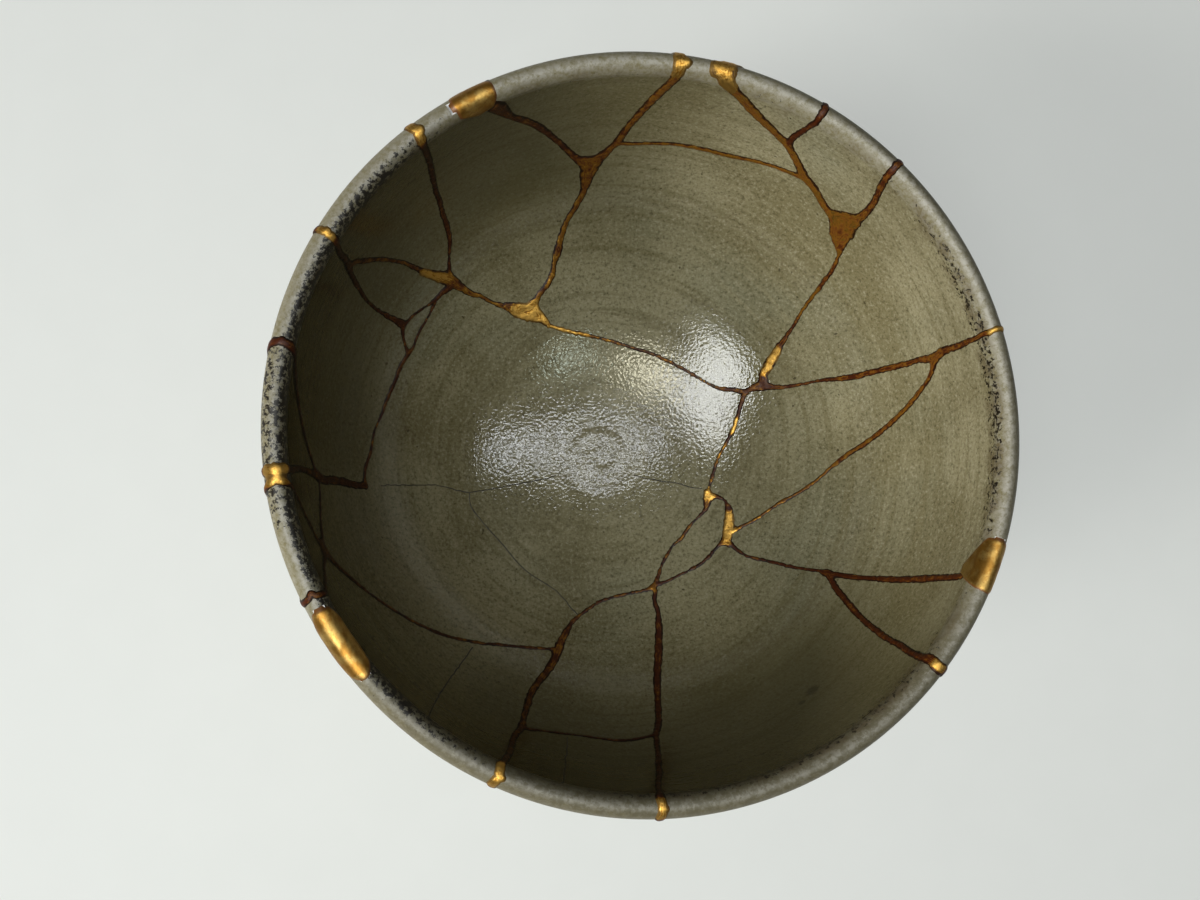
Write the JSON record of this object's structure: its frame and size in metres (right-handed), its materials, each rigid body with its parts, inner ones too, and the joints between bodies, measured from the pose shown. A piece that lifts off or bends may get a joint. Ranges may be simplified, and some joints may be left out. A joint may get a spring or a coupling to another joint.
{
  "type": "repaired bowl",
  "caption": "Deep thrown stoneware bowl on a foot ring, broken into shards and joined again with raised, gold-dusted lacquer seams.",
  "frame": {"origin": "on the bowl's axis, in the plane that the foot ring stands on", "axes": "+Z up the bowl's axis; seen from above, +X is to the right in the picture and +Y is up it"},
  "size_m": [0.16, 0.1606, 0.0954],
  "materials": {
    "glazed_clay": "semi-gloss greenish grey glaze with iron speckles",
    "gilt_lacquer": "red-brown lacquer dusted with worn gold",
    "rim_gold": "burnished gold powder over lacquer putty"
  },
  "bodies": {
    "root": {"rim_shard_north": "glazed_clay", "rim_shard_north_northeast": "glazed_clay", "rim_chip_northeast": "glazed_clay", "rim_shard_northeast": "glazed_clay", "rim_shard_east_northeast": "glazed_clay", "rim_shard_east": "glazed_clay", "rim_shard_east_southeast": "glazed_clay", "rim_shard_southeast": "glazed_clay", "rim_shard_south": "glazed_clay", "rim_shard_southwest": "glazed_clay", "rim_shard_west_southwest": "glazed_clay", "wall_wedge_west": "glazed_clay", "rim_chip_west": "glazed_clay", "rim_shard_west_northwest": "glazed_clay", "rim_shard_northwest": "glazed_clay", "rim_shard_north_northwest": "glazed_clay", "wall_shard_northwest": "glazed_clay", "wall_sliver_northwest": "glazed_clay", "wall_shard_north": "glazed_clay", "wall_shard_east": "glazed_clay", "wall_chip_southeast": "glazed_clay", "wall_shard_south": "glazed_clay", "foot_shard": "glazed_clay", "lacquer_seams": "gilt_lacquer", "rim_fill_east": "rim_gold", "rim_fill_southwest": "rim_gold", "rim_fill_northwest": "rim_gold"}
  },
  "joints": []
}
